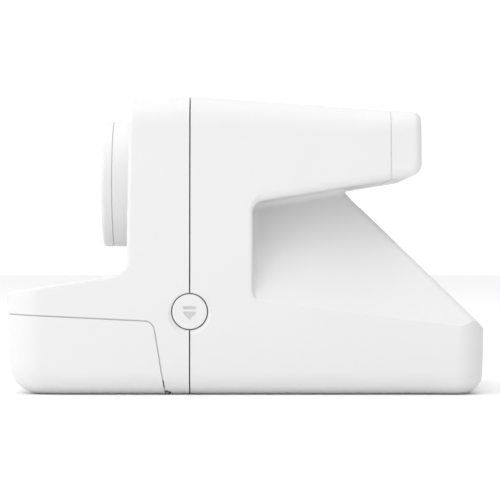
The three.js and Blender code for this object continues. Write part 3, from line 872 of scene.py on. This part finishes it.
def flash_pane():
    """Clear window whose inner face is ribbed to spread the light."""
    low, high = box("flash_window")
    x, z = (low + high)[[0, 2]] / 2
    wide, tall = (high - low)[[0, 2]]
    plate = softened(along("y", rectangle(x, z, wide, tall, 2), low[1], high[1]), 0.3)
    for k in range(-7, 8):
        middle_x, back = x + 1.4 * k, high[1]
        groove = [(middle_x - 0.6, back + 0.2), (middle_x, back - 0.5), (middle_x + 0.6, back + 0.2)]
        cut(plate, along("z", groove, z - tall / 2 + 1.5, z + tall / 2 - 1.5))
    present(plate, "camera", "flash_window", clear_glass)


def eyepiece():
    """Rimmed frame with a small lens plate deep inside it."""
    low, high = box("viewfinder_eyepiece")
    x, z = (low + high)[[0, 2]] / 2
    wide, tall = (high - low)[[0, 2]]
    rim = along("y", rectangle(x, z, wide, tall, 2), low[1], high[1])
    flare = along("y", rectangle(x, z, wide - 4, tall - 4, 1), low[1] - 1, high[1] + 1)
    rim = softened(cut(rim, flare), 0.45, 3)
    lens_plate = along("y", rectangle(x, z, wide - 3.6, tall - 3.6, 1.2), low[1] + 0.4, low[1] + 1.8)
    present(joined(rim, lens_plate), "camera", "viewfinder_eyepiece", black_gloss)


# ---------------------------------------------------------------- film path
def film_roller(node, body, reach=44):
    """Bar with a thinner shaft at each end and small chamfers."""
    low, high = box(node)
    y, z = (low + high)[1:] / 2
    radius, shaft = (high[2] - low[2]) / 2, 1.2
    profile = [
        (0, low[0]), (shaft - 0.2, low[0]), (shaft, low[0] + 0.2), (shaft, -reach), (radius - 0.3, -reach),
        (radius, -reach + 0.3), (radius, reach - 0.3), (radius - 0.3, reach), (shaft, reach),
        (shaft, high[0] - 0.2), (shaft - 0.2, high[0]), (0, high[0]),
    ]
    present(turned("roller", profile, (0, y, z), "x", 64), body, node, plain_steel)


def carried_over():
    """The CAD pieces that keep their own shape get their finish and smooth faces."""
    slots = {row["node"]: row["material_slot"] for row in frame["record"]["subparts"]}
    for name, thing in frame["nodes"].items():
        if thing.hide_render:
            continue
        thing.data.materials.clear()
        thing.data.materials.append(slot_material[slots[name]])
        thing.data.shade_smooth()
        thing.data.set_sharp_from_angle(angle=math.radians(30))


# ---------------------------------------------------------------- studio
def soft_light(name, place, aim, size, power):
    light = bpy.data.lights.new(name, "AREA")
    light.shape = "RECTANGLE"
    light.size, light.size_y = size
    light.energy = power
    lamp = bpy.data.objects.new(name, light)
    lamp.location = place
    lamp.rotation_euler = (Vector(aim) - Vector(place)).to_track_quat("-Z", "Y").to_euler()
    bpy.context.scene.collection.objects.link(lamp)


def floor_paper():
    """Plain pale paper."""
    material = bpy.data.materials.new("floor_paper")
    material.use_nodes = True
    shader = material.node_tree.nodes["Principled BSDF"]
    shader.inputs["Base Color"].default_value = (0.95, 0.95, 0.95, 1)
    shader.inputs["Roughness"].default_value = 0.9
    return material


def studio():
    """White room that is dimmer behind the camera, a pale floor and two large soft lights."""
    scene = bpy.context.scene
    scene.view_settings.view_transform = "Standard"
    world = bpy.data.worlds.new("studio")
    scene.world = world
    world.use_nodes = True
    nodes, links = world.node_tree.nodes, world.node_tree.links
    place = nodes.new("ShaderNodeTexCoord")
    parts = nodes.new("ShaderNodeSeparateXYZ")
    level = nodes.new("ShaderNodeMapRange")
    level.inputs["From Min"].default_value = 0.1
    level.inputs["From Max"].default_value = 1
    level.inputs["To Min"].default_value = 1.11
    level.inputs["To Max"].default_value = 0.3
    links.new(place.outputs["Generated"], parts.inputs["Vector"])
    links.new(parts.outputs["Y"], level.inputs["Value"])
    nodes["Background"].inputs["Color"].default_value = (1, 1, 1, 1)
    links.new(level.outputs["Result"], nodes["Background"].inputs["Strength"])
    floor = along("z", rectangle(0, 0, 8000, 8000, 0), -20, -0.05, "floor")
    floor.data.materials.append(floor_paper())
    centre = (0, 0, height / 2 * MM)
    soft_light("overhead", (0.1, 0.0, 1.4), centre, (1.6, 1.6), 6.5)
    soft_light("from_the_front", (0.55, -0.7, 0.45), centre, (0.5, 0.5), 1.2)


def camera():
    """Level view along -X from the side with the door release."""
    view = bpy.data.cameras.new("view")
    view.lens = 194.8
    view.sensor_width = 36
    view.clip_start = 0.05
    eye = bpy.data.objects.new("view", view)
    eye.location = (0.9, 0.00145, 0.0453)
    eye.rotation_euler = (math.radians(90), 0, math.radians(90))
    bpy.context.scene.collection.objects.link(eye)
    bpy.context.scene.camera = eye


# ---------------------------------------------------------------- assembly
housing()
door_release()
lens_rear_ring()
lens_front_ring()
lens_bezel()
front_glass()
round_key("shutter_button", "shutter_key", red_key, -1)
round_key("self_timer_button", "timer_key", key_white, -1, dish=0.2)
round_key("flash_mode_button", "flash_key", key_white, 1)
round_key("power_button", "power_key", key_white, 1)
round_pane("light_sensor_window", black_gloss)
round_pane("timer_led", red_key)
pane("viewfinder_front_window", 2, clear_glass)
pane("counter_display", 1.2, black_gloss)
flash_pane()
eyepiece()
film_roller("lower_roller", "lower_drive")
film_roller("upper_roller", "upper_drive")
carried_over()
studio()
camera()
